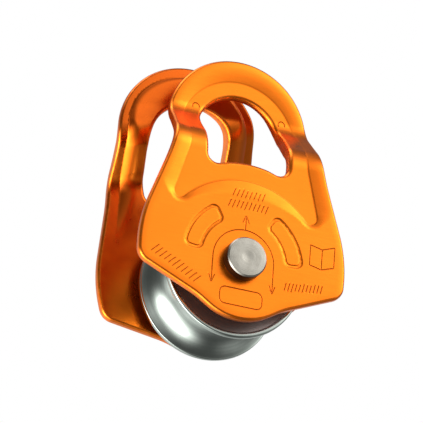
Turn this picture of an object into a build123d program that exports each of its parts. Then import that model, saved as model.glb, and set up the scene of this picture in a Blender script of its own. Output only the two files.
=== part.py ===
from build123d import *
import math
import os

# Rope pulley with two swinging side plates.
# Frame: origin at the middle of the sheave, +Y along the axle towards the rear
# plate, +Z up towards the carabiner eye of the front plate, +X to the right.
# All lengths in millimetres.

# ---- Side plate: flat pattern (x across, z up, measured from the axle) ----
plate_t = 2.5           # sheet thickness
plate_face = 15.1       # outer face of the lower body, from the middle plane
lobe_r = 15.3           # bottom lobe, concentric with the axle
lobe_half_angle = 33.0  # degrees of lobe each side of straight down
flank_x = 11.4          # where the lobe flank meets the sloping lower edge
flank_r = 22.0
lower_edge_slope = 23.3
corner_x = 27.1         # lower outside corner
corner_r = 4.0
side_lean = 2.0         # degrees, widening upwards
knee_z = 6.0            # where the side turns in
knee_r = 36.0
flare_lean = 18.8       # degrees, narrowing upwards
waist_z = 30.6
waist_r = 60.0
ear_z = 38.75           # centre of the round ear
ear_r = 18.6
plate_bore_r = 4.05
edge_round = 0.7

# ---- Side plate: the step that brings the ear inwards ----
joggle = 10.0
joggle_z1 = 31.3
joggle_z2 = 41.0
bend_r = 6.0

# ---- Carabiner eye ----
eye_z = 36.1
eye_r = 11.0
eye_leg_x = 10.6
eye_floor_r = 26.1      # lower edge, concentric with the axle
eye_corner_r = 2.5

# ---- Pressed panel under the eye, crescent over it, kidneys by the axle ----
panel_r = 20.6          # lower boundary, concentric with the axle
panel_foot = (20.5, 12.2)
panel_head = (16.2, 28.2)
panel_depth = 0.7
panel_taper = 45.0
panel_horn_r = 1.6
crescent_r = 15.3       # about the centre of the eye
crescent_start = 28.0   # degrees above level
crescent_depth = 0.45
kidney_outer_r = 16.1
kidney_inner_r = 10.7
kidney_start = 3.0      # degrees above level
kidney_end = 61.0
kidney_corner_r = 1.8
kidney_groove = 1.1     # width of the groove round the island
kidney_depth = 0.25

rear_swing = -14.8      # rear plate turned about +Y in the rest pose

# ---- Axle ----
axle_r = 4.0
head_r = 5.2
head_t = 3.0
head_chamfer = 0.4
head_play = 0.05
face_dip_r = 1.4        # shallow cone in the middle of the front head
face_dip = 0.15
tail_r = 3.0            # reduced rear end that carries the pressed head
collar_r = 6.0
collar_foot_r = 5.0
collar_foot_t = 1.4

# ---- Sheave ----
sheave_r = 18.0
tread_r = 12.5
sheave_half_w = 9.6
groove_half_w = 8.3
rim_round = 0.45
hub_face_r = 9.8
dish_r = 17.0
dish_depth = 0.35
shoulder_r = 6.9
shoulder_half_w = 3.4

# ---- Sealed ball bearings 8 x 16 x 5 ----
bearing_r = 8.0
bearing_w = 5.0
inner_ring_r = 5.2
outer_ring_bore_r = 6.8
pitch_r = 6.0
ball_r = 1.2
race_r = 1.25
ball_count = 10
cage_half_t = 0.45
cage_half_w = 1.75
pocket_r = 1.3
seal_t = 0.4
seal_inset = 0.1
seal_gap = 0.15
ring_t = 0.8            # internal retaining ring
ring_depth = 0.45
ring_bore_r = 7.1
ring_gap_angle = 40.0


def rounded_path(corners, radii):
    """Straight runs through the corners, joined by tangent arcs."""
    edges = []
    here = Vector(*corners[0])
    for i in range(1, len(corners) - 1):
        apex = Vector(*corners[i])
        back = (Vector(*corners[i - 1]) - apex).normalized()
        ahead = (Vector(*corners[i + 1]) - apex).normalized()
        half = math.radians(back.get_angle(ahead)) / 2
        reach = radii[i - 1] / math.tan(half)
        start = apex + back * reach
        end = apex + ahead * reach
        inward = (back + ahead).normalized()
        middle = apex + inward * (radii[i - 1] / math.sin(half) - radii[i - 1])
        edges.append(Edge.make_line(here, start))
        edges.append(Edge.make_three_point_arc(start, middle, end))
        here = end
    edges.append(Edge.make_line(here, Vector(*corners[-1])))
    return edges


def polar(radius, degrees, centre_z=0.0):
    angle = math.radians(degrees)
    return (radius * math.cos(angle), centre_z + radius * math.sin(angle))


def outline_face():
    """Closed plate outline, symmetric about x = 0."""
    lobe_end = polar(lobe_r, lobe_half_angle - 90)
    flank_z = lobe_end[1] + (flank_x - lobe_end[0]) * math.tan(math.radians(lobe_half_angle))
    corner_z = flank_z + (corner_x - flank_x) * math.tan(math.radians(lower_edge_slope))
    knee_x = corner_x + (knee_z - corner_z) * math.tan(math.radians(side_lean))
    waist_x = knee_x - (waist_z - knee_z) * math.tan(math.radians(flare_lean))
    reach = math.hypot(waist_x, waist_z - ear_z)
    ear_angle = math.degrees(math.acos(ear_r / reach) + math.atan2(waist_z - ear_z, waist_x))
    ear_start = polar(ear_r, ear_angle, ear_z)
    corners = [lobe_end, (flank_x, flank_z), (corner_x, corner_z)]
    corners += [(knee_x, knee_z), (waist_x, waist_z), ear_start]
    right = rounded_path(corners, [flank_r, corner_r, knee_r, waist_r])
    left = [edge.mirror(Plane.YZ) for edge in right]
    mirrored_start = (-ear_start[0], ear_start[1])
    mirrored_lobe = (-lobe_end[0], lobe_end[1])
    ear = Edge.make_three_point_arc(ear_start, (0, ear_z + ear_r), mirrored_start)
    lobe = Edge.make_three_point_arc(mirrored_lobe, (0, -lobe_r), lobe_end)
    return make_face(right + left + [ear, lobe])


def joggle_strip():
    """Side view of the bent sheet, pulled out across the full width."""
    bend = math.atan2(joggle, joggle_z2 - joggle_z1)
    lag = plate_t * math.tan(bend / 2)
    low = -lobe_r - 10
    high = ear_z + ear_r + 10
    outer_y = -plate_face
    inner_y = -plate_face + plate_t
    outer = [(outer_y, low), (outer_y, joggle_z1)]
    outer += [(outer_y + joggle, joggle_z2), (outer_y + joggle, high)]
    inner = [(inner_y, low), (inner_y, joggle_z1 - lag)]
    inner += [(inner_y + joggle, joggle_z2 - lag), (inner_y + joggle, high)]
    edges = rounded_path(outer, [bend_r + plate_t, bend_r])
    edges += rounded_path(inner, [bend_r, bend_r + plate_t])
    edges.append(Edge.make_line(outer[0], inner[0]))
    edges.append(Edge.make_line(outer[-1], inner[-1]))
    return extrude(Plane.YZ * make_face(edges), 2 * corner_x, both=True)


def eye_face():
    """Round top, nearly straight legs and an arched lower edge."""
    leg_z = math.sqrt(eye_floor_r ** 2 - eye_leg_x ** 2)
    top = Pos(0, eye_z) * Circle(eye_r)
    legs = Polygon(
        (-eye_leg_x, leg_z - 3), (eye_leg_x, leg_z - 3), (eye_r, eye_z), (-eye_r, eye_z), align=None
    )
    hole = top + legs - Circle(eye_floor_r)
    feet = hole.vertices().sort_by(Axis.Y)[:2]
    return fillet(feet, eye_corner_r)


def panel_face():
    """Pressed panel: a trapezium standing on the circle round the axle."""
    whole = Polygon(
        (-panel_foot[0], panel_foot[1]), (panel_foot[0], panel_foot[1]),
        (panel_head[0], panel_head[1]), (-panel_head[0], panel_head[1]), align=None
    )
    panel = whole - Circle(panel_r)
    feet = panel.vertices().sort_by(Axis.Y)[:4]
    return fillet(feet, panel_horn_r)


def sector_face(inner_r, outer_r, start, end, corner):
    """Ring sector with rounded corners."""
    reach = 2 * outer_r
    wedge = Polygon((0, 0), polar(reach, start), polar(reach, end), align=None)
    sector = (Circle(outer_r) - Circle(inner_r)) & wedge
    return fillet(sector.vertices(), corner)


def kidney_groove_face():
    shrink = math.degrees(kidney_groove / ((kidney_outer_r + kidney_inner_r) / 2))
    whole = sector_face(kidney_inner_r, kidney_outer_r, kidney_start, kidney_end, kidney_corner_r)
    island = sector_face(
        kidney_inner_r + kidney_groove, kidney_outer_r - kidney_groove,
        kidney_start + shrink, kidney_end - shrink, kidney_corner_r / 2
    )
    return whole - island


def slab(face, y_from, y_to):
    """Flat x-z region pulled out between two positions along the axle."""
    return Pos(0, y_to, 0) * extrude(Plane.XZ * face, y_to - y_from)


def side_plate():
    """Front side plate, upright."""
    blank = slab(outline_face(), -plate_face - 1, 0) & joggle_strip()
    rim = blank.edges().filter_by(Axis.Y, reverse=True).filter_by(Axis.X, reverse=True)
    plate = fillet(rim, edge_round)
    inner_y = -plate_face + plate_t
    panel = panel_face()
    bump = extrude(Plane.XZ.offset(-inner_y) * panel, -panel_depth, taper=panel_taper)
    pocket = extrude(Plane.XZ.offset(plate_face) * panel, -panel_depth, taper=panel_taper)
    plate = plate + bump - pocket
    ear_outer = -plate_face + joggle
    ear_inner = ear_outer + plate_t
    band = Pos(0, eye_z) * sector_face(
        eye_r - 1, crescent_r, crescent_start, 180 - crescent_start, 0.8
    )
    plate = plate + slab(band, ear_inner - 0.5, ear_inner + crescent_depth)
    plate = plate - slab(band, -plate_face - 1, ear_outer + crescent_depth)
    groove = kidney_groove_face()
    for side in (groove, groove.mirror(Plane.YZ)):
        plate = plate - slab(side, -plate_face - 1, -plate_face + kidney_depth)
    plate = plate - slab(Circle(plate_bore_r), -plate_face - 1, 0)
    plate = plate - slab(eye_face(), -plate_face - 5, 5)
    return plate


def ring(inner_r, outer_r, y_from, y_to):
    return slab(Circle(outer_r) - Circle(inner_r), y_from, y_to)


def turned(points):
    """Body turned about the axle from (radius, y) corner points."""
    profile = Plane.XY * Polygon(*points, align=None)
    return revolve(profile, Axis.Y)


def save(shape, name):
    export_step(shape, "parts/" + name + ".step")


os.makedirs("parts", exist_ok=True)

# ---- Side plates ----
front_plate = side_plate()
rear_plate = Rot(0, rear_swing, 0) * front_plate.mirror(Plane.XZ)
save(front_plate, "front_side_plate")
save(rear_plate, "rear_side_plate")

# ---- Axle pin with its turned front head and reduced tail ----
inner_face = plate_face - plate_t
head_base = plate_face + head_play
head_top = head_base + head_t
axle = turned([
    (0, -head_top + face_dip), (face_dip_r, -head_top),
    (head_r - head_chamfer, -head_top), (head_r, -head_top + head_chamfer),
    (head_r, -head_base), (axle_r, -head_base), (axle_r, head_base),
    (tail_r, head_base), (tail_r, head_top - 0.3), (0, head_top - 0.3)
])
save(axle, "axle_pin")
rear_head = turned([
    (tail_r, head_base), (head_r, head_base), (head_r, head_top - head_chamfer),
    (head_r - head_chamfer, head_top), (tail_r, head_top)
])
save(rear_head, "axle_rear_head")

# ---- Collars that space the plates from the bearings ----
bearing_out = shoulder_half_w + bearing_w
collar_end = inner_face - head_play
collar = turned([
    (axle_r, bearing_out), (collar_foot_r, bearing_out), (collar_foot_r, bearing_out + collar_foot_t),
    (collar_r, bearing_out + collar_foot_t + 0.6), (collar_r, collar_end - 0.3),
    (collar_r - 0.3, collar_end), (axle_r, collar_end)
])
save(collar.mirror(Plane.XZ), "front_collar")
save(collar, "rear_collar")
save(ring(axle_r, inner_ring_r - 0.2, -shoulder_half_w, shoulder_half_w), "bearing_spacer")

# ---- Sheave: round-bottomed rope groove between two thin rims ----
groove_depth = sheave_r - tread_r
groove_r = (groove_half_w ** 2 + groove_depth ** 2) / (2 * groove_depth)
wheel = turned([
    (bearing_r, -sheave_half_w), (hub_face_r, -sheave_half_w),
    (hub_face_r + dish_depth, -sheave_half_w + dish_depth),
    (dish_r - dish_depth, -sheave_half_w + dish_depth), (dish_r, -sheave_half_w),
    (sheave_r, -sheave_half_w), (sheave_r, sheave_half_w),
    (dish_r, sheave_half_w), (dish_r - dish_depth, sheave_half_w - dish_depth),
    (hub_face_r + dish_depth, sheave_half_w - dish_depth), (hub_face_r, sheave_half_w),
    (bearing_r, sheave_half_w), (bearing_r, shoulder_half_w),
    (shoulder_r, shoulder_half_w), (shoulder_r, -shoulder_half_w),
    (bearing_r, -shoulder_half_w)
])
groove = Plane.XY * Pos(tread_r + groove_r, 0) * Circle(groove_r)
wheel = wheel - revolve(groove, Axis.Y)
snap_groove = ring(bearing_r - 0.5, bearing_r + ring_depth, bearing_out, bearing_out + ring_t)
wheel = wheel - snap_groove - snap_groove.mirror(Plane.XZ)
rims = [e for e in wheel.edges().filter_by(GeomType.CIRCLE) if e.radius > sheave_r - 0.01]
wheel = fillet(rims, rim_round)
save(wheel, "sheave")

# ---- Internal retaining rings that hold the bearings in the sheave ----
snap = ring(ring_bore_r, bearing_r + ring_depth - 0.02, bearing_out, bearing_out + ring_t)
gap = slab(
    Polygon((0, 0), polar(20, -90 - ring_gap_angle / 2), polar(20, -90 + ring_gap_angle / 2), align=None),
    bearing_out - 1, bearing_out + ring_t + 1
)
snap = snap - gap
save(Compound(children=[snap, snap.mirror(Plane.XZ)]), "bearing_retaining_rings")

# ---- Two sealed ball bearings ----
race = Torus(pitch_r, race_r)
for name, side in (("front", -1), ("rear", 1)):
    centre = side * (shoulder_half_w + bearing_w / 2)
    lo = centre - bearing_w / 2
    hi = centre + bearing_w / 2
    track = Pos(0, centre, 0) * Rot(90, 0, 0) * race
    save(ring(outer_ring_bore_r, bearing_r, lo, hi) - track, name + "_bearing_outer_ring")
    save(ring(axle_r, inner_ring_r, lo, hi) - track, name + "_bearing_inner_ring")
    spots = [polar(pitch_r, 360 * i / ball_count) for i in range(ball_count)]
    balls = [Pos(x, centre, z) * Sphere(ball_r) for x, z in spots]
    save(Compound(children=balls), name + "_bearing_balls")
    cage = ring(pitch_r - cage_half_t, pitch_r + cage_half_t, centre - cage_half_w, centre + cage_half_w)
    for x, z in spots:
        cage = cage - Plane(origin=(x, centre, z), z_dir=(x, 0, z)) * Cylinder(pocket_r, 3)
    save(cage, name + "_bearing_cage")
    for place, y in (("outboard", side * (abs(centre) + bearing_w / 2 - seal_inset - seal_t / 2)),
                     ("inboard", side * (abs(centre) - bearing_w / 2 + seal_inset + seal_t / 2))):
        seal = ring(inner_ring_r + seal_gap, outer_ring_bore_r, y - seal_t / 2, y + seal_t / 2)
        save(seal, name + "_bearing_" + place + "_seal")
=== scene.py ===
import math

import bmesh
import bpy
import numpy as np
from mathutils import Matrix, Vector
from mathutils.geometry import delaunay_2d_cdt


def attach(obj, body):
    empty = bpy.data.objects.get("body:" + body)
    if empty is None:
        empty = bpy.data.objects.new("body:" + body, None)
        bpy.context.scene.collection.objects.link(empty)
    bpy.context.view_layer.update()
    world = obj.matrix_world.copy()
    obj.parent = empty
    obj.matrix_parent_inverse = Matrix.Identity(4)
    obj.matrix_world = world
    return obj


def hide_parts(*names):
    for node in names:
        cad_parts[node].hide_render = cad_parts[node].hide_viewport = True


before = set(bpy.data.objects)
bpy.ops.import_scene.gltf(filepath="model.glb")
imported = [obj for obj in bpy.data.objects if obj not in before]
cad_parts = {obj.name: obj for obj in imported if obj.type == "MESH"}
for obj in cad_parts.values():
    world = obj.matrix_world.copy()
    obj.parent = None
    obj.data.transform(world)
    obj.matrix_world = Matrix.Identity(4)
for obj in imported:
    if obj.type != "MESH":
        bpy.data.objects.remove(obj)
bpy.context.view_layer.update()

# All shape sizes below are millimetres; meshes are written in metres.
MM = 0.001
REAR_SWING = math.radians(-14.8)    # the rear plate's rest turn about +Y

# ---------------------------------------------------------------- camera
# Found by a least-squares fit to points measured on the photograph. Distance and aim are in metres.
AZIMUTH = math.radians(20.43)       # the camera stands to the left of the front
ELEVATION = math.radians(-22.34)    # and below it
ROLL = math.radians(4.23)
DISTANCE = 1.147
AIM_RIGHT = -0.00209                # from the sheave's centre, in the picture's plane
AIM_UP = 0.01698
LENS = 394.8                        # millimetres, on a 36 mm sensor


def make_camera():
    toward = Vector((
        math.sin(AZIMUTH) * math.cos(ELEVATION),
        math.cos(AZIMUTH) * math.cos(ELEVATION),
        -math.sin(ELEVATION),
    ))
    level = Vector((math.cos(AZIMUTH), -math.sin(AZIMUTH), 0))
    above = level.cross(toward)
    right = level * math.cos(ROLL) + above * math.sin(ROLL)
    up = above * math.cos(ROLL) - level * math.sin(ROLL)
    place = right * AIM_RIGHT + up * AIM_UP - toward * DISTANCE
    data = bpy.data.cameras.new("camera")
    data.lens = LENS
    data.sensor_width = 36
    data.clip_start = 0.01
    data.clip_end = 20
    camera = bpy.data.objects.new("camera", data)
    matrix = Matrix((right, up, -toward)).transposed().to_4x4()
    matrix.translation = place
    camera.matrix_world = matrix
    bpy.context.scene.collection.objects.link(camera)
    bpy.context.scene.camera = camera


make_camera()

# ---------------------------------------------------------------- side plate sizes
# The outline, eye and step are part.py's, and most began as the same fit, rounded. The relief differs.
PLATE_T = 2.5
PLATE_FACE = 15.1
LOBE_R = 15.3
LOBE_HALF_ANGLE = 33.0
FLANK_X, FLANK_R = 11.4, 22.0
LOWER_EDGE_SLOPE = 23.3
CORNER_X, CORNER_R = 27.1, 4.0
SIDE_LEAN = 2.0
KNEE_Z, KNEE_R = 6.0, 36.0
FLARE_LEAN = 18.8
WAIST_Z, WAIST_R = 30.6, 60.0
EAR_Z, EAR_R = 38.75, 18.6
BORE_R = 4.05
JOGGLE, JOGGLE_Z1, JOGGLE_Z2, BEND_R = 10.0, 31.3, 41.0, 6.0
EYE_Z, EYE_R, EYE_LEG_X, EYE_FLOOR_R, EYE_CORNER_R = 36.1, 11.0, 10.6, 26.1, 2.5
PANEL_R, HORN_R, CRESCENT_R = 21.3, 1.6, 15.3
RIM_FOOT, RIM_TOP, RIM_BEND_R = (19.0, 15.0), (15.5, 28.0), 14.0
PANEL_DEPTH, RING_DEPTH, WALL_LAG = 0.52, 0.40, 1.3
WALL_W, HORN_WALL_W, HORN_Z1, HORN_Z2 = 4.2, 1.5, 12.8, 18.0
BACK_DEPTH, BACK_WALL_W, BACK_RING_WALL_W, BACK_RING_WIDER = 1.35, 4.4, 1.5, 1.9
BACK_FADE_Z1, BACK_FADE_Z2 = 14.0, 30.0
# How the pressing changes on its way up to the ear: heights (Z1 to Z2), wall shapes, and the rolled edges.
DEPTH_Z1, DEPTH_Z2 = 26.0, 38.0
CRISP_PANEL, CRISP_LEG, CRISP_Z1, CRISP_Z2 = 0.16, 0.05, 22.0, 34.0
BACK_RING_Z1, BACK_RING_Z2, RIDGE_Z1, RIDGE_Z2, RIDGE_POWER = 38.0, 44.0, 40.0, 48.0, 2.6
LAG_Z1, LAG_Z2 = 38.0, 50.0
WALL_FOOT, WALL_POWER = 0.08, 1.6
ROLL_Z1, ROLL_Z2 = 36.0, 46.0
EAR_ROLL, EAR_ROLL_W, EDGE_ROLL, EDGE_ROLL_W, ROLL_INSIDE = 0.20, 4.0, 0.10, 2.2, 0.6
KIDNEY_OUT, KIDNEY_IN, KIDNEY_START, KIDNEY_END = 16.1, 10.7, 3.0, 61.0
KIDNEY_GROOVE, KIDNEY_DEPTH, KIDNEY_OUT_WALL, KIDNEY_IN_WALL = 1.1, 0.14, 0.4, 0.3
EDGE_R, EYE_EDGE_R, BORE_EDGE_R = 0.75, 1.05, 0.3
ENGRAVE_W, ENGRAVE_DEPTH = 0.16, 0.11
WEAR_START, WEAR_W = -0.5, 0.75
# Painted shade on the inner faces: how strong it is at the foot and where it rises, then how much less the
# bend takes, and where.
INNER_SHADE_FOOT, INNER_SHADE_Z1, INNER_SHADE_Z2 = 0.35, 2.0, 22.0
BEND_SHADE_DROP, BEND_SHADE_RISE_Z, BEND_SHADE_FALL_Z, BEND_SHADE_W = 0.5, 28.0, 39.0, 4.0
# The mesh: spacing of its grid, and how far grid points and feature lines stay from edges.
GRID_STEP, GRID_CLEAR, EDGE_CLEAR, BORE_CLEAR = 0.46, 0.17, 0.2, 0.5
LINE_OUTLINE_CLEAR, LINE_EYE_CLEAR = 1.05, 1.5


# ---------------------------------------------------------------- plane curves
def polar(radius, degrees, centre_z=0.0):
    angle = math.radians(degrees)
    return (radius * math.cos(angle), centre_z + radius * math.sin(angle))


def arc(centre, radius, start, end, step=0.3):
    """Points of an arc between two angles in degrees."""
    count = max(3, int(abs(math.radians(end - start)) * radius / step) + 1)
    angle = np.radians(np.linspace(start, end, count))
    return np.stack([centre[0] + radius * np.cos(angle), centre[1] + radius * np.sin(angle)], 1)


def rounded_path(corners, radii):
    """Straight runs through the corners, joined by tangent arcs."""
    points = [np.array(corners[0], float)]
    for before, apex, after, radius in zip(corners, corners[1:], corners[2:], radii):
        apex = np.array(apex, float)
        back = np.array(before, float) - apex
        ahead = np.array(after, float) - apex
        back /= np.linalg.norm(back)
        ahead /= np.linalg.norm(ahead)
        half = math.acos(float(np.clip(back @ ahead, -1, 1))) / 2
        if half > math.pi / 2 - 1e-4:
            points.append(apex)
            continue
        start = apex + back * radius / math.tan(half)
        inward = (back + ahead) / np.linalg.norm(back + ahead)
        centre = apex + inward * radius / math.sin(half)
        first = start - centre
        turn = math.pi - 2 * half
        if back[0] * ahead[1] - back[1] * ahead[0] > 0:
            turn = -turn
        for angle in np.linspace(0, turn, max(4, int(abs(turn) * radius / 0.3) + 2)):
            c, s = math.cos(angle), math.sin(angle)
            points.append(centre + np.array([c * first[0] - s * first[1], s * first[0] + c * first[1]]))
    points.append(np.array(corners[-1], float))
    return np.array(points)


def resample(path, step, closed=False):
    """Evenly spaced points along a path."""
    if closed:
        path = np.vstack([path, path[:1]])
    span = np.linalg.norm(np.diff(path, axis=0), axis=1)
    path = path[np.r_[True, span > 1e-9]]
    run = np.r_[0, np.cumsum(np.linalg.norm(np.diff(path, axis=0), axis=1))]
    count = max(3, round(run[-1] / step))
    at = np.linspace(0, run[-1], count, endpoint=False) if closed else np.linspace(0, run[-1], count + 1)
    return np.stack([np.interp(at, run, path[:, 0]), np.interp(at, run, path[:, 1])], 1)


def flip(path):
    return path[::-1] * np.array([-1.0, 1.0])


def shifted(path, distance, closed=True):
    """The path moved sideways, to its left where the distance is positive."""
    if closed:
        along = np.roll(path, -1, 0) - np.roll(path, 1, 0)
    else:
        along = np.gradient(path, axis=0)
    along /= np.linalg.norm(along, axis=1)[:, None]
    return path + np.stack([-along[:, 1], along[:, 0]], 1) * distance


def distance(points, path, closed=True, reach=None):
    """How far each point is from a path, or reach for points well away from it."""
    if reach is not None:
        near = ((points > path.min(0) - reach) & (points < path.max(0) + reach)).all(1)
        gaps = np.full(len(points), float(reach))
        gaps[near] = np.minimum(distance(points[near], path, closed), reach)
        return gaps
    a = path if closed else path[:-1]
    b = np.roll(path, -1, 0) if closed else path[1:]
    run = b - a
    long = (run ** 2).sum(1) + 1e-12
    best = np.full(len(points), 1e9)
    for low in range(0, len(points), 4000):
        off = points[low:low + 4000, None, :] - a[None]
        t = np.clip((off * run[None]).sum(2) / long[None], 0, 1)
        gap = off - t[..., None] * run[None]
        best[low:low + 4000] = np.sqrt((gap ** 2).sum(2).min(1))
    return best


def inside(points, loop):
    x, z = points[:, 0:1], points[:, 1:2]
    x0, z0 = loop[:, 0][None], loop[:, 1][None]
    x1, z1 = np.roll(loop[:, 0], -1)[None], np.roll(loop[:, 1], -1)[None]
    crosses = (z0 > z) != (z1 > z)
    rise = np.where(z1 == z0, 1e-12, z1 - z0)
    return (crosses & (x < (x1 - x0) * (z - z0) / rise + x0)).sum(1) % 2 == 1


def depth_into(points, loop, reach=None):
    """Distance to a closed loop, positive inside it."""
    return np.where(inside(points, loop), 1.0, -1.0) * distance(points, loop, True, reach)


def ease(value):
    t = np.clip(value, 0, 1)
    return t * t * (3 - 2 * t)


def between(value, low, high):
    """0 below low, 1 above high, and a soft step from one to the other."""
    return ease((value - low) / (high - low))


def outline_loop():
    """The plate's outline, anticlockwise, symmetric about x = 0."""
    lobe_end = polar(LOBE_R, LOBE_HALF_ANGLE - 90)
    flank_z = lobe_end[1] + (FLANK_X - lobe_end[0]) * math.tan(math.radians(LOBE_HALF_ANGLE))
    corner_z = flank_z + (CORNER_X - FLANK_X) * math.tan(math.radians(LOWER_EDGE_SLOPE))
    knee_x = CORNER_X + (KNEE_Z - corner_z) * math.tan(math.radians(SIDE_LEAN))
    waist_x = knee_x - (WAIST_Z - KNEE_Z) * math.tan(math.radians(FLARE_LEAN))
    reach = math.hypot(waist_x, WAIST_Z - EAR_Z)
    ear_angle = math.degrees(math.acos(EAR_R / reach) + math.atan2(WAIST_Z - EAR_Z, waist_x))
    corners = [lobe_end, (FLANK_X, flank_z), (CORNER_X, corner_z), (knee_x, KNEE_Z)]
    corners += [(waist_x, WAIST_Z), polar(EAR_R, ear_angle, EAR_Z)]
    right = rounded_path(corners, [FLANK_R, CORNER_R, KNEE_R, WAIST_R])
    ear = arc((0, EAR_Z), EAR_R, ear_angle, 180 - ear_angle)
    lobe = arc((0, 0), LOBE_R, -90 - LOBE_HALF_ANGLE, LOBE_HALF_ANGLE - 90)
    return resample(np.vstack([right, ear[1:-1], flip(right), lobe[1:-1]]), 0.36, closed=True)


def eye_loop():
    """The carabiner eye, anticlockwise."""
    foot_angle = math.degrees(math.acos(EYE_LEG_X / EYE_FLOOR_R))
    foot = polar(EYE_FLOOR_R, foot_angle)
    inner = polar(EYE_FLOOR_R, foot_angle + 12)
    top_start = (EYE_R, EYE_Z)
    right = rounded_path([inner, foot, top_start], [EYE_CORNER_R])
    floor = arc((0, 0), EYE_FLOOR_R, 180 - foot_angle - 12, foot_angle + 12)
    top = arc((0, EYE_Z), EYE_R, 0, 180)
    return resample(np.vstack([floor[1:-1], right, top[1:-1], flip(right)]), 0.33, closed=True)


def sector_loop(inner_r, outer_r, start, end, corner, step=0.25):
    """A ring sector with rounded corners, anticlockwise."""
    far = outer_r - corner
    near = inner_r + corner
    far_trim = math.degrees(math.asin(corner / far))
    near_trim = math.degrees(math.asin(corner / near))
    return resample(np.vstack([
        arc((0, 0), outer_r, start + far_trim, end - far_trim, step),
        arc(polar(far, end - far_trim), corner, end - far_trim, end + 90, step),
        arc(polar(near, end - near_trim), corner, end + 90, end - near_trim + 180, step),
        arc((0, 0), inner_r, end - near_trim, start + near_trim, step),
        arc(polar(near, start + near_trim), corner, start + near_trim + 180, start + 270, step),
        arc(polar(far, start + far_trim), corner, start - 90, start + far_trim, step),
    ]), step, closed=True)


# ---------------------------------------------------------------- side plate relief
def bend_profile(start_y, lag, first_radius, second_radius):
    """Where one face of the plate lies, as (y, z): straight, stepped inwards, and straight again."""
    end_y = start_y + JOGGLE
    corners = [(start_y, -40), (start_y, JOGGLE_Z1 - lag), (end_y, JOGGLE_Z2 - lag), (end_y, 80)]
    return rounded_path(corners, [first_radius, second_radius])


BEND = math.atan2(JOGGLE, JOGGLE_Z2 - JOGGLE_Z1)
OUTER_BEND = bend_profile(-PLATE_FACE, 0, BEND_R + PLATE_T, BEND_R)
INNER_BEND = bend_profile(-PLATE_FACE + PLATE_T, PLATE_T * math.tan(BEND / 2), BEND_R, BEND_R + PLATE_T)

OUTLINE = outline_loop()
EYE = eye_loop()
BORE = resample(arc((0, 0), BORE_R, 0, 360)[:-1], 0.3, closed=True)


def inset_loop():
    """The pressed area round the eye: two rounded horns, the legs' creases and a ring over the eye."""
    rim_lean = math.degrees(math.atan2(RIM_TOP[1] - RIM_FOOT[1], RIM_FOOT[0] - RIM_TOP[0]))
    outward = 90 - rim_lean
    reach = PANEL_R + HORN_R
    normal = np.array(polar(1.0, outward))
    tilt = math.degrees(math.acos((np.array(RIM_FOOT) @ normal - HORN_R) / reach))
    horn = polar(reach, outward + tilt)
    tip = arc(horn, HORN_R, outward + tilt + 180, outward + 360, 0.2)
    leg = rounded_path([tuple(tip[-1]), RIM_TOP, (CRESCENT_R, EYE_Z)], [RIM_BEND_R])
    ring = arc((0, EYE_Z), CRESCENT_R, 0, 180)
    floor = arc((0, 0), PANEL_R, 180 - outward - tilt, outward + tilt)
    right = np.vstack([tip, leg[1:-1]])
    return resample(np.vstack([right, ring, flip(right), floor[1:-1]]), 0.33, closed=True)


INSET = inset_loop()
INSET_LAG = WALL_LAG + BACK_RING_WIDER * between(INSET[:, 1:], LAG_Z1, LAG_Z2)
INSET_BACK = resample(shifted(INSET, -INSET_LAG), 0.4, closed=True)


def kidney_loops():
    shrink = math.degrees(KIDNEY_GROOVE / ((KIDNEY_OUT + KIDNEY_IN) / 2))
    outer = sector_loop(KIDNEY_IN, KIDNEY_OUT, KIDNEY_START, KIDNEY_END, 1.9)
    inner = sector_loop(
        KIDNEY_IN + KIDNEY_GROOVE, KIDNEY_OUT - KIDNEY_GROOVE, KIDNEY_START + shrink, KIDNEY_END - shrink, 0.9
    )
    return [(outer, inner), (flip(outer), flip(inner))]


def ticks(start, end, count, height, lean=0.35):
    """A row of plain slanted marks that stand on the line between two points."""
    start, end = np.array(start, float), np.array(end, float)
    along = (end - start) / np.linalg.norm(end - start)
    rise = (np.array([-along[1], along[0]]) + along * lean) * height
    feet = [start + (end - start) * i / (count - 1) for i in range(count)]
    return [np.array([foot, foot + rise]) for foot in feet]


def engraved_paths():
    """Engraved lines, open and closed: a turning arrow, plain strokes, a blank book and a blank plate."""
    arch_r, arch_foot, tip_z, barb_z, barb_x = 8.0, -6.6, -7.2, -5.2, 0.75
    open_paths = [np.vstack([[(arch_r, arch_foot)], arc((0, 0), arch_r, 0, 180), [(-arch_r, arch_foot)]])]
    for side in (-1, 1):
        x = side * arch_r
        open_paths.append(np.array([(x - barb_x, barb_z), (x, tip_z), (x + barb_x, barb_z)]))
    open_paths.append(np.array([(0, arch_r), (0, 11.6)]))
    open_paths.append(np.array([(-barb_x, 10.2), (0, 11.9), (barb_x, 10.2)]))
    for z, half, count in ((16.7, 3.9, 8), (13.6, 4.9, 10)):
        open_paths += ticks((-half, z), (half, z), count, 1.7)
    open_paths += ticks((-23.9, -2.2), (-12.4, -7.9), 11, 2.1)
    open_paths += ticks((11.2, -5.4), (20.8, -4.2), 11, 1.7)
    left_page = np.array([(20.6, 7.2), (17.4, 7.9), (17.4, 2.6), (20.6, 1.9)])
    right_page = np.array([(20.6, 7.2), (23.9, 8.4), (23.9, 3.0), (20.6, 1.9), (20.6, 7.2)])
    open_paths += [left_page, right_page]
    half, top, foot, corner = 5.6, -7.6, -12.0, 1.5
    plate = [(0, top), (half, top), (half, foot), (-half, foot), (-half, top), (0, top)]
    open_paths.append(rounded_path(plate, [corner] * 4))
    ear_mark = arc((-11.55, 42.65), 0.9, -35, 200, 0.15)
    open_paths += [ear_mark, flip(ear_mark)]
    return [resample(path, 0.22) for path in open_paths]


KIDNEYS = kidney_loops()
ENGRAVED = engraved_paths()


def wall_rise(run, width, crisp):
    """A pressed wall's rise, 0 to 1 along its run: a crisp foot, an even slope, an eased top."""
    t = np.clip(run / width, 0, 1)
    return crisp * ease(t / WALL_FOOT) + (1 - crisp) * (1 - (1 - t) ** WALL_POWER)


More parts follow.
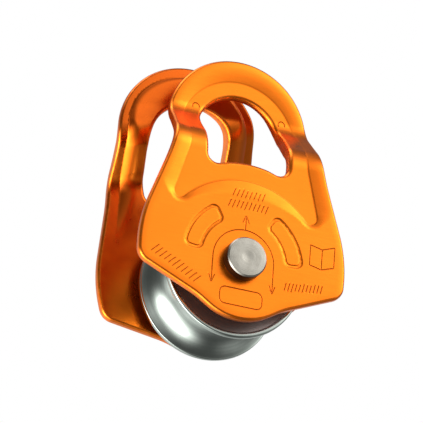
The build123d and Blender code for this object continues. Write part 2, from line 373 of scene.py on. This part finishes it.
def edge_drop(gap, radius):
    """How far a rounded edge falls away at a distance from the side wall."""
    inward = np.clip(radius - gap, 0, radius)
    return radius - np.sqrt(np.maximum(radius ** 2 - inward ** 2, 0))


def plate_heights(points):
    """The outer and inner faces' y, and the engraving and edge masks."""
    x, z = points[:, 0], points[:, 1]
    to_outline = distance(points, OUTLINE)
    to_eye = distance(points, EYE)
    to_bore = distance(points, BORE)
    ear = between(z, ROLL_Z1, ROLL_Z2)
    depth = PANEL_DEPTH + (RING_DEPTH - PANEL_DEPTH) * between(z, DEPTH_Z1, DEPTH_Z2)
    outer = np.interp(z, OUTER_BEND[:, 1], OUTER_BEND[:, 0])
    inner = np.interp(z, INNER_BEND[:, 1], INNER_BEND[:, 0])
    width = HORN_WALL_W + (WALL_W - HORN_WALL_W) * between(z, HORN_Z1, HORN_Z2)
    crisp = CRISP_PANEL + (CRISP_LEG - CRISP_PANEL) * between(z, CRISP_Z1, CRISP_Z2)
    outer = outer + depth * (1 - wall_rise(-depth_into(points, INSET, WALL_W + 1), width, crisp))
    fade = between(z, BACK_FADE_Z1, BACK_FADE_Z2)
    back_width = BACK_WALL_W + (BACK_RING_WALL_W - BACK_WALL_W) * between(z, BACK_RING_Z1, BACK_RING_Z2)
    run = np.clip(depth_into(points, INSET_BACK, BACK_WALL_W + 1) / back_width, 0, 1)
    lean = np.interp(z, INNER_BEND[1:, 1], np.diff(INNER_BEND[:, 0]) / np.diff(INNER_BEND[:, 1]))
    ridge = (BACK_DEPTH + (RING_DEPTH - BACK_DEPTH) * between(z, RIDGE_Z1, RIDGE_Z2)) * np.sqrt(1 + lean ** 2)
    inner = inner + ridge * fade * (1 - (1 - run) ** RIDGE_POWER)
    for around, island in KIDNEYS:
        wall = ease(depth_into(points, around, 1) / KIDNEY_OUT_WALL)
        outer = outer + KIDNEY_DEPTH * wall * ease(-depth_into(points, island, 1) / KIDNEY_IN_WALL)
    groove = np.zeros(len(points))
    for path in ENGRAVED:
        groove = np.maximum(groove, 1 - ease(distance(points, path, False, 1) / ENGRAVE_W))
    outer = outer + ENGRAVE_DEPTH * groove
    roll = EAR_ROLL * (1 - np.clip(to_outline / EAR_ROLL_W, 0, 1)) ** 2 * ear
    roll = roll + EDGE_ROLL * (1 - np.clip(to_outline / EDGE_ROLL_W, 0, 1)) ** 2
    outer = outer + roll
    inner = inner - ROLL_INSIDE * roll
    drop = edge_drop(to_outline, EDGE_R) + edge_drop(to_eye, EYE_EDGE_R) + edge_drop(to_bore, BORE_EDGE_R)
    outer = outer + drop
    inner = inner - drop
    nearest = np.minimum(to_outline - EDGE_R, to_eye - EYE_EDGE_R)
    wear = 1 - between(nearest, WEAR_START, WEAR_START + WEAR_W)
    return outer, inner, groove, wear


def plate_pattern():
    """Triangles of the flat pattern, with lines along every edge and feature."""
    loops = []
    for fraction in (0, 0.06, 0.2, 0.42, 0.7, 1.0, 1.25):
        loops.append((shifted(OUTLINE, EDGE_R * fraction), True))
        loops.append((shifted(EYE, -EYE_EDGE_R * fraction), True))
    for fraction in (0, 0.3, 1.0):
        loops.append((shifted(BORE, -BORE_EDGE_R * fraction), True))
    for around, island in KIDNEYS:
        for inset in (0, 0.1, 0.2, 0.3):
            loops.append((shifted(around, inset), True))
            loops.append((shifted(island, -inset), True))
    for loop, offsets in ((INSET, (0.3, 0, -0.2, -0.4)), (INSET_BACK, (0, 0.2, 0.4))):
        for offset in offsets:
            band = shifted(loop, offset)
            keep = (distance(band, OUTLINE) > LINE_OUTLINE_CLEAR) & (distance(band, EYE) > LINE_EYE_CLEAR)
            if keep.all():
                loops.append((band, True))
            else:
                first = int(np.argmax(~keep))
                order = np.roll(np.arange(len(band)), -first)
                loops.append((band[order][keep[order]], False))
    for path in ENGRAVED:
        for side in (-1.3, -0.75, 0, 0.75, 1.3):
            loops.append((shifted(path, side * ENGRAVE_W, closed=False), False))
    points, edges = [], []
    for loop, closed in loops:
        base = len(points)
        count = len(loop)
        points += [Vector((float(p[0]), float(p[1]))) for p in loop]
        edges += [(base + i, base + i + 1) for i in range(count - 1)]
        if closed:
            edges.append((base + count - 1, base))
    rows = np.arange(-LOBE_R, EAR_Z + EAR_R, GRID_STEP * math.sqrt(3) / 2)
    across = np.arange(-28, 28, GRID_STEP)
    grid = np.array([(x + (i % 2) * GRID_STEP / 2, z) for i, z in enumerate(rows) for x in across])
    grid = grid[depth_into(grid, OUTLINE) > EDGE_R * 1.25 + EDGE_CLEAR]
    off_eye = depth_into(grid, EYE) < -EYE_EDGE_R * 1.25 - EDGE_CLEAR
    off_bore = np.hypot(grid[:, 0], grid[:, 1]) > BORE_R + BORE_CLEAR
    grid = grid[off_eye & off_bore]
    for loop, closed in loops:
        grid = grid[distance(grid, loop, closed, 0.5) > GRID_CLEAR]
    points += [Vector((float(p[0]), float(p[1]))) for p in grid]
    made, _, faces, _, _, _ = delaunay_2d_cdt(points, edges, [], 0, 0.03)
    flat = np.array([(p[0], p[1]) for p in made])
    triangles = np.array([face for face in faces if len(face) == 3])
    middle = flat[triangles].mean(1)
    keep = inside(middle, OUTLINE) & ~inside(middle, EYE) & ~inside(middle, BORE)
    return flat, triangles[keep]


def mesh_object(name, points, faces, masks=None, normals=None):
    """A smooth mesh object from points in millimetres."""
    mesh = bpy.data.meshes.new(name)
    mesh.from_pydata((np.asarray(points) * MM).tolist(), [], faces)
    mesh.polygons.foreach_set("use_smooth", [True] * len(mesh.polygons))
    for mask, values in (masks or {}).items():
        layer = mesh.attributes.new(mask, "FLOAT", "POINT")
        layer.data.foreach_set("value", np.asarray(values, dtype=np.float32))
    mesh.update()
    if normals is not None:
        mesh.normals_split_custom_set_from_vertices(normals.tolist())
    piece = bpy.data.objects.new(name, mesh)
    bpy.context.scene.collection.objects.link(piece)
    return piece


def plate_normals(flat, outer, inner, open_edges):
    """Shading normals: the faces' slopes over a small step, and straight outwards along the side walls."""
    step = 0.02
    across = plate_heights(flat + np.array([step, 0]))
    up = plate_heights(flat + np.array([0, step]))
    ones = np.ones(len(flat))
    front = np.stack([(across[0] - outer) / step, -ones, (up[0] - outer) / step], 1)
    back = np.stack([(inner - across[1]) / step, ones, (inner - up[1]) / step], 1)
    wall = np.zeros((len(flat), 3))
    for a, b in open_edges:
        run = flat[b] - flat[a]
        side = np.array([run[1], 0, -run[0]])
        wall[a] += side
        wall[b] += side
    on_wall = np.abs(wall).sum(1) > 0
    front[on_wall] = wall[on_wall]
    back[on_wall] = wall[on_wall]
    normals = np.vstack([front, back])
    return normals / np.linalg.norm(normals, axis=1)[:, None]


def to_rear(vectors):
    """Mirror the front plate's points or normals in the middle plane, and swing them to the rear plate's."""
    x, y, z = vectors[:, 0], -vectors[:, 1], vectors[:, 2]
    c, s = math.cos(REAR_SWING), math.sin(REAR_SWING)
    return np.stack([c * x + s * z, y, c * z - s * x], 1)


def inner_painted_shade(z):
    """Painted shade on the inner faces: how much of the darker orange they take, little at the foot and less
    again on the bend.
    """
    rise = between(z, BEND_SHADE_RISE_Z, BEND_SHADE_RISE_Z + BEND_SHADE_W)
    fall = between(z, BEND_SHADE_FALL_Z, BEND_SHADE_FALL_Z + BEND_SHADE_W)
    body = INNER_SHADE_FOOT + (1 - INNER_SHADE_FOOT) * between(z, INNER_SHADE_Z1, INNER_SHADE_Z2)
    return body * (1 - BEND_SHADE_DROP * rise * (1 - fall))


def make_plates():
    flat, triangles = plate_pattern()
    used = np.unique(triangles)
    index = np.full(len(flat), -1)
    index[used] = np.arange(len(used))
    flat, triangles = flat[used], index[triangles]
    outer, inner, groove, wear = plate_heights(flat)
    count = len(flat)
    points = np.vstack([
        np.stack([flat[:, 0], outer, flat[:, 1]], 1),
        np.stack([flat[:, 0], inner, flat[:, 1]], 1),
    ])
    edges = np.vstack([triangles[:, [0, 1]], triangles[:, [1, 2]], triangles[:, [2, 0]]])
    known = {(a, b) for a, b in edges.tolist()}
    open_edges = [(a, b) for a, b in known if (b, a) not in known]
    faces = triangles.tolist()
    faces += [(a + count, c + count, b + count) for a, b, c in triangles.tolist()]
    faces += [(b, a, a + count, b + count) for a, b in sorted(open_edges)]
    masks = {
        "groove": np.r_[groove, np.zeros(count)],
        "wear": np.r_[wear, wear],
        # painted shade on the inner faces, between the plates
        "inner": np.r_[np.zeros(count), inner_painted_shade(flat[:, 1])],
    }
    normals = plate_normals(flat, outer, inner, open_edges)
    front = mesh_object("front_plate_pressing", points, faces, masks, normals)
    back_faces = [face[::-1] for face in faces]
    rear = mesh_object("rear_plate_pressing", to_rear(points), back_faces, masks, to_rear(normals))
    return front, rear


front_plate, rear_plate = make_plates()
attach(front_plate, "front_plate")
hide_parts("front_side_plate")
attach(rear_plate, "rear_plate")
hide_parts("rear_side_plate")

# ---------------------------------------------------------------- turned pieces
def lathe(name, profile, closed=False, segments=256):
    """A body turned about the axle from (radius, y) points."""
    profile = np.asarray(profile, float)
    count = len(profile)
    angle = np.linspace(0, 2 * math.pi, segments, endpoint=False)
    points = [(r * math.cos(a), y, r * math.sin(a)) for a in angle for r, y in profile]
    faces = []
    for i in range(segments):
        j = (i + 1) % segments
        for k in range(count if closed else count - 1):
            m = (k + 1) % count
            quad = (i * count + k, i * count + m, j * count + m, j * count + k)
            faces.append(quad)
    piece = mesh_object(name, points, faces)
    mesh = piece.data
    work = bmesh.new()
    work.from_mesh(mesh)
    bmesh.ops.remove_doubles(work, verts=work.verts, dist=1e-7)
    bmesh.ops.recalc_face_normals(work, faces=work.faces)
    work.to_mesh(mesh)
    work.free()
    mesh.polygons.foreach_set("use_smooth", [True] * len(mesh.polygons))
    return piece


HEAD_TOP = 18.15
HEAD_BASE = 15.15
HEAD_R = 5.2
HEAD_CHAMFER = 0.38
SHAFT_R = 4.0


def head_profile(side, tail_hole):
    """Half section of an axle head, from the middle of its face to the shaft."""
    if tail_hole:
        face = [(0, HEAD_TOP - 0.3), (2.7, HEAD_TOP - 0.3), (2.95, HEAD_TOP - 0.02), (3.3, HEAD_TOP)]
        rounds = [0.2, 0.15, 0.3]
    else:
        face = [(0, HEAD_TOP - 0.10), (0.4, HEAD_TOP - 0.085), (1.6, HEAD_TOP - 0.01), (2.8, HEAD_TOP)]
        rounds = [1.0, 4.0, 3.0]
    rim = [(HEAD_R - HEAD_CHAMFER, HEAD_TOP), (HEAD_R, HEAD_TOP - HEAD_CHAMFER)]
    under = [(HEAD_R, HEAD_BASE), (SHAFT_R, HEAD_BASE)]
    rounds += [0.12, 0.12, 0.12]
    return rounded_path(face + rim + under, rounds) * np.array([1, side])


def make_axle():
    front = head_profile(-1, False)
    end = [(SHAFT_R, HEAD_BASE), (3.0, HEAD_BASE), (0, HEAD_BASE)]
    pin = lathe("axle_turned_pin", np.vstack([front, end]))
    back = head_profile(1, True)
    rear = lathe("axle_rear_turned_head", np.vstack([[(0, HEAD_BASE), (SHAFT_R, HEAD_BASE)], back[::-1]]))
    return pin, rear


SHEAVE_R, TREAD_R, SHEAVE_HALF_W, GROOVE_HALF_W = 18.0, 12.5, 9.6, 8.3
DISH_R, DISH_DEPTH, HUB_R = 17.0, 0.35, 9.8
SEAT_R, SEAT_Y = 8.0, 5.0            # the bearing's seat, and where its bore profile ends
GROOVE_R = (GROOVE_HALF_W ** 2 + (SHEAVE_R - TREAD_R) ** 2) / (2 * (SHEAVE_R - TREAD_R))


def make_sheave():
    half_angle = math.degrees(math.asin(GROOVE_HALF_W / GROOVE_R))
    groove = arc((TREAD_R + GROOVE_R, 0), GROOVE_R, 180 + half_angle, 180 - half_angle, 0.25)
    dish_y = SHEAVE_HALF_W - DISH_DEPTH
    corners = [(15.4, GROOVE_HALF_W - 2.0), tuple(groove[-1])]
    corners += [(SHEAVE_R, SHEAVE_HALF_W), (DISH_R, SHEAVE_HALF_W)]
    corners += [(DISH_R - DISH_DEPTH, dish_y), (HUB_R + DISH_DEPTH, dish_y)]
    corners += [(HUB_R, SHEAVE_HALF_W), (SEAT_R, SHEAVE_HALF_W), (SEAT_R, SEAT_Y)]
    side = rounded_path(corners, [0.3, 0.45, 0.15, 0.2, 0.2, 0.15, 0.25])[1:]
    other = side[::-1] * np.array([1, -1])
    profile = np.vstack([groove[1:-1], side, other])
    return lathe("sheave_turned", profile, closed=True)


pin, rear_head = make_axle()
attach(pin, "axle")
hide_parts("axle_pin")
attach(rear_head, "axle")
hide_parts("axle_rear_head")
sheave = make_sheave()
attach(sheave, "wheel")
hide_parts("sheave")


# ---------------------------------------------------------------- materials
class Paint:
    """A small helper that wires one procedural material."""

    def __init__(self, name, colour, metallic, roughness):
        self.made = bpy.data.materials.new(name)
        self.made.use_nodes = True
        self.tree = self.made.node_tree
        self.shader = self.tree.nodes["Principled BSDF"]
        self.shader.inputs["Base Color"].default_value = (*colour, 1)
        self.shader.inputs["Metallic"].default_value = metallic
        self.shader.inputs["Roughness"].default_value = roughness
        self.place = self.node("ShaderNodeTexCoord").outputs["Object"]
        self.height = None

    def node(self, kind, **settings):
        made = self.tree.nodes.new(kind)
        for key, value in settings.items():
            setattr(made, key, value)
        return made

    def join(self, source, target):
        self.tree.links.new(source, target)

    def maths(self, operation, a, b=None, c=None):
        made = self.node("ShaderNodeMath", operation=operation)
        for socket, value in zip(made.inputs, (a, b, c)):
            if value is None:
                continue
            if isinstance(value, (int, float)):
                socket.default_value = value
            else:
                self.join(value, socket)
        return made.outputs[0]

    def scaled(self, factors):
        made = self.node("ShaderNodeVectorMath", operation="MULTIPLY")
        self.join(self.place, made.inputs[0])
        made.inputs[1].default_value = factors
        return made.outputs[0]

    def noise(self, factors, detail=3.0, rough=0.5):
        """Noise with its own scale along each axis, in cycles per metre."""
        made = self.node("ShaderNodeTexNoise")
        made.inputs["Scale"].default_value = 1.0
        made.inputs["Detail"].default_value = detail
        made.inputs["Roughness"].default_value = rough
        self.join(self.scaled(factors), made.inputs["Vector"])
        return made.outputs[0]

    def radius(self):
        """Distance from the axle's axis, in metres."""
        made = self.node("ShaderNodeVectorMath", operation="LENGTH")
        self.join(self.scaled((1, 0, 1)), made.inputs[0])
        return made.outputs["Value"]

    def rings(self, scale, detail=2.0):
        """Fine turning marks that depend only on the radius and the place along the axle."""
        along = self.node("ShaderNodeSeparateXYZ")
        self.join(self.place, along.inputs[0])
        both = self.node("ShaderNodeCombineXYZ")
        self.join(self.maths("MULTIPLY", self.radius(), scale), both.inputs[0])
        self.join(self.maths("MULTIPLY", along.outputs[1], scale), both.inputs[1])
        made = self.node("ShaderNodeTexNoise")
        made.inputs["Scale"].default_value = 1.0
        made.inputs["Detail"].default_value = detail
        self.join(both.outputs[0], made.inputs["Vector"])
        return made.outputs[0]

    def along(self):
        """How far a point is from the middle plane between the side plates, in metres."""
        split = self.node("ShaderNodeSeparateXYZ")
        self.join(self.place, split.inputs[0])
        return self.maths("ABSOLUTE", split.outputs[1])

    def mask(self, name):
        return self.node("ShaderNodeAttribute", attribute_name=name).outputs["Fac"]

    def span(self, value, low, high, start=0.0, end=1.0):
        made = self.node("ShaderNodeMapRange")
        self.join(value, made.inputs["Value"])
        for key, number in (("From Min", low), ("From Max", high), ("To Min", start), ("To Max", end)):
            made.inputs[key].default_value = number
        return made.outputs[0]

    def mix(self, factor, first, second):
        made = self.node("ShaderNodeMix", data_type="RGBA")
        self.join(factor, made.inputs[0])
        for socket, value in ((made.inputs[6], first), (made.inputs[7], second)):
            if isinstance(value, tuple):
                socket.default_value = (*value, 1)
            else:
                self.join(value, socket)
        return made.outputs[2]

    def colour(self, source):
        self.join(source, self.shader.inputs["Base Color"])

    def rough(self, source):
        self.join(source, self.shader.inputs["Roughness"])

    def bump(self, source, strength, reach):
        made = self.node("ShaderNodeBump")
        made.inputs["Strength"].default_value = strength
        made.inputs["Distance"].default_value = reach
        self.join(source, made.inputs["Height"])
        if self.height is not None:
            self.join(self.height, made.inputs["Normal"])
        self.height = made.outputs[0]
        self.join(self.height, self.shader.inputs["Normal"])


def anodised_orange():
    paint = Paint("anodised_orange", (1.0, 0.215, 0.005), 1.0, 0.3)
    patches = paint.span(paint.noise((60, 60, 60), 3), 0.35, 0.65)
    base = paint.mix(patches, (1.0, 0.207, 0.004), (1.0, 0.223, 0.006))
    streaks = paint.noise((230, 2400, 2400), 3, 0.6)
    base = paint.mix(paint.span(streaks, 0.35, 0.65, 0.0, 0.5), base, (0.97, 0.188, 0.0035))
    # Painted shade: by the "inner" mask, the inner faces take a darker, redder orange.
    base = paint.mix(paint.mask("inner"), base, (0.66, 0.106, 0.0015))
    scuffs = paint.span(paint.noise((900, 900, 900), 4), 0.42, 0.68)
    worn = paint.maths("MULTIPLY", paint.mask("wear"), scuffs)
    base = paint.mix(paint.maths("MULTIPLY", worn, 0.35), base, (1.0, 0.34, 0.05))
    base = paint.mix(paint.maths("MULTIPLY", paint.mask("groove"), 0.65), base, (0.30, 0.035, 0.002))
    paint.colour(base)
    grain = paint.noise((5200, 5200, 5200), 3)
    rough = paint.span(paint.noise((420, 420, 420), 4), 0.3, 0.7, 0.27, 0.34)
    paint.rough(rough)
    paint.bump(grain, 0.10, 0.00003)
    paint.bump(streaks, 0.16, 0.00004)
    paint.shader.inputs["Coat Weight"].default_value = 0.15
    paint.shader.inputs["Coat Roughness"].default_value = 0.28
    paint.shader.inputs["Coat IOR"].default_value = 1.6
    return paint.made


def turned_steel():
    """The axle's metal: turned faces, and the heads' side walls painted near-black as a painted dark
    reflection.
    """
    paint = Paint("turned_stainless", (0.36, 0.34, 0.30), 1.0, 0.3)
    marks = paint.rings(5200, 3)
    stain = paint.span(paint.noise((500, 500, 500), 4), 0.35, 0.7)
    base = paint.mix(stain, (0.40, 0.38, 0.33), (0.33, 0.31, 0.265))
    # Painted dark reflection: past the chamfer, the heads' side walls take a near-black colour.
    side = paint.maths(
        "MULTIPLY", paint.span(paint.along(), 0.01790, 0.01770), paint.span(paint.radius(), 0.0050, 0.0051)
    )
    paint.colour(paint.mix(side, base, (0.06, 0.056, 0.053)))
    paint.rough(paint.span(marks, 0.3, 0.7, 0.25, 0.40))
    paint.bump(marks, 0.35, 0.00004)
    return paint.made


def polished_sheave():
    """The sheave's metal: a polished groove and rims, and satin sides painted a darker grey-brown as painted
    shade.
    """
    paint = Paint("polished_aluminium", (0.45, 0.48, 0.455), 1.0, 0.12)
    marks = paint.rings(3600, 3)
    brushed = paint.span(paint.rings(1500, 4), 0.35, 0.65)
    smears = paint.span(paint.noise((260, 260, 260), 4), 0.35, 0.7)
    base = paint.mix(smears, (0.52, 0.57, 0.52), (0.42, 0.47, 0.425))
    base = paint.mix(paint.maths("MULTIPLY", brushed, 0.4), base, (0.32, 0.375, 0.335))
    # Painted shade: the flange sides, which face the side plates across a narrow gap, take a darker
    # grey-brown; their extra roughness is the satin finish.
    side = paint.maths(
        "MULTIPLY", paint.span(paint.along(), 0.0088, 0.0090), paint.span(paint.radius(), 0.01735, 0.0170)
    )
    paint.colour(paint.mix(side, base, paint.mix(brushed, (0.36, 0.325, 0.305), (0.25, 0.22, 0.21))))
    polish = paint.span(brushed, 0.0, 1.0, 0.09, 0.16)
    paint.rough(paint.maths("MULTIPLY_ADD", side, 0.34, polish))
    paint.bump(marks, 0.14, 0.00002)
    return paint.made


def plain_metal(name, colour, roughness):
    paint = Paint(name, colour, 1.0, roughness)
    marks = paint.rings(4200, 3)
    darker = tuple(0.82 * part for part in colour)
    paint.colour(paint.mix(paint.span(marks, 0.3, 0.7), colour, darker))
    paint.rough(paint.span(paint.noise((700, 700, 700), 3), 0.3, 0.7, roughness, roughness + 0.1))
    paint.bump(marks, 0.15, 0.00002)
    return paint.made


def seal_rubber():
    paint = Paint("seal_rubber", (0.022, 0.022, 0.023), 0.0, 0.6)
    speck = paint.noise((3000, 3000, 3000), 3)
    paint.colour(paint.mix(paint.span(speck, 0.35, 0.65), (0.018, 0.018, 0.019), (0.032, 0.032, 0.033)))
    paint.rough(paint.span(speck, 0.3, 0.7, 0.5, 0.7))
    paint.bump(speck, 0.2, 0.00003)
    return paint.made


def dress(piece, material):
    piece.data.materials.clear()
    piece.data.materials.append(material)


orange = anodised_orange()
for piece in (front_plate, rear_plate):
    dress(piece, orange)
steel = turned_steel()
for piece in (pin, rear_head):
    dress(piece, steel)
dress(sheave, polished_sheave())
collar_metal = plain_metal("turned_collar", (0.55, 0.55, 0.54), 0.28)
bearing_metal = plain_metal("ground_bearing_steel", (0.56, 0.56, 0.57), 0.16)
ball_metal = plain_metal("polished_ball_steel", (0.72, 0.73, 0.74), 0.06)
cage_metal = plain_metal("pressed_cage", (0.50, 0.47, 0.42), 0.35)
spring_metal = plain_metal("blackened_spring_steel", (0.09, 0.09, 0.10), 0.4)
rubber = seal_rubber()
FINISHES = (
    ("collar", collar_metal), ("spacer", collar_metal), ("retaining", spring_metal), ("_seal", rubber),
    ("_cage", cage_metal), ("_balls", ball_metal), ("er_ring", bearing_metal),
)
for node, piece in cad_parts.items():
    for word, material in FINISHES:
        if word in node:
            dress(piece, material)


# ---------------------------------------------------------------- surroundings
AMBIENT = 0.10
# Soft lights: name, degrees round from the front (right is positive), degrees up, sharpness, brightness.
# Eight (the first seven, and under_left) began as a least-squares fit to the photograph's tones, rounded.
# All but two of those keep the fit's direction, and their brightness was changed. The other five
# were placed one by one.
LIGHTS = (
    ("front_softbox", 25, 35, 7, 1.45),
    ("right_key", 50, 30, 24, 5.4),
    ("right_low_fill", 55, 5, 25, 1.0),
    ("left_key", -75, -30, 22, 13.0),
    ("left_wrap", -85, -42, 9, 1.1),
    ("left_front_fill", -30, -10, 28, 0.7),
    ("left_side_fill", -125, 0, 20, 1.3),
    ("under_right", 70, -30, 16, 0.4),
    ("under_left", -58, -60, 16, 5.0),
    ("top_left", -95, 70, 22, 5.0),
    ("back_under_left", -160, -40, 10, 1.4),
    ("back_right", 145, 5, 5, 0.7),
    ("back_left", -145, 5, 5, 0.7),
)


def aim(round_front, up):
    """The direction of a light as a unit vector."""
    turn, rise = math.radians(round_front), math.radians(up)
    return (math.sin(turn) * math.cos(rise), -math.cos(turn) * math.cos(rise), math.sin(rise))


def make_world():
    """Soft lights all round, which also show in the metal, and plain white straight behind the object."""
    world = bpy.data.worlds.new("studio")
    bpy.context.scene.world = world
    world.use_nodes = True
    nodes, links = world.node_tree.nodes, world.node_tree.links
    nodes.clear()

    def maths(operation, a, b):
        made = nodes.new("ShaderNodeMath")
        made.operation = operation
        for socket, value in zip(made.inputs, (a, b)):
            if isinstance(value, (int, float)):
                socket.default_value = value
            elif value is not None:
                links.new(value, socket)
        return made.outputs[0]

    place = nodes.new("ShaderNodeTexCoord").outputs["Generated"]
    total = AMBIENT
    for _, round_front, up, sharpness, brightness in LIGHTS:
        dot = nodes.new("ShaderNodeVectorMath")
        dot.operation = "DOT_PRODUCT"
        links.new(place, dot.inputs[0])
        dot.inputs[1].default_value = aim(round_front, up)
        off_aim = maths("SUBTRACT", dot.outputs["Value"], 1.0)
        fall = maths("EXPONENT", maths("MULTIPLY", off_aim, sharpness), None)
        total = maths("ADD", maths("MULTIPLY", fall, brightness), total)
    light = nodes.new("ShaderNodeBackground")
    links.new(total, light.inputs["Strength"])
    seen = nodes.new("ShaderNodeBackground")
    seen.inputs["Color"].default_value = (1, 1, 1, 1)
    choose = nodes.new("ShaderNodeMixShader")
    links.new(nodes.new("ShaderNodeLightPath").outputs["Is Camera Ray"], choose.inputs[0])
    links.new(light.outputs[0], choose.inputs[1])
    links.new(seen.outputs[0], choose.inputs[2])
    out = nodes.new("ShaderNodeOutputWorld")
    links.new(choose.outputs[0], out.inputs["Surface"])


FLOOR_Z = -0.75                      # well under the camera, which looks up at the object
FLOOR_R = 0.45


def make_floor():
    """A plain pale round floor."""
    angle = np.linspace(0, 2 * math.pi, 96, endpoint=False)
    rim = np.stack([np.cos(angle), np.sin(angle), np.zeros(96)], 1) * FLOOR_R / MM
    rim[:, 2] = FLOOR_Z / MM
    floor = mesh_object("floor", rim, [tuple(range(96))])
    paint = Paint("pale_floor", (0.82, 0.82, 0.81), 0.0, 0.7)
    paint.colour(paint.mix(paint.noise((30, 30, 30), 4), (0.80, 0.80, 0.79), (0.84, 0.84, 0.83)))
    dress(floor, paint.made)
    floor.visible_glossy = False


make_world()
make_floor()
bpy.context.scene.view_settings.view_transform = "Standard"
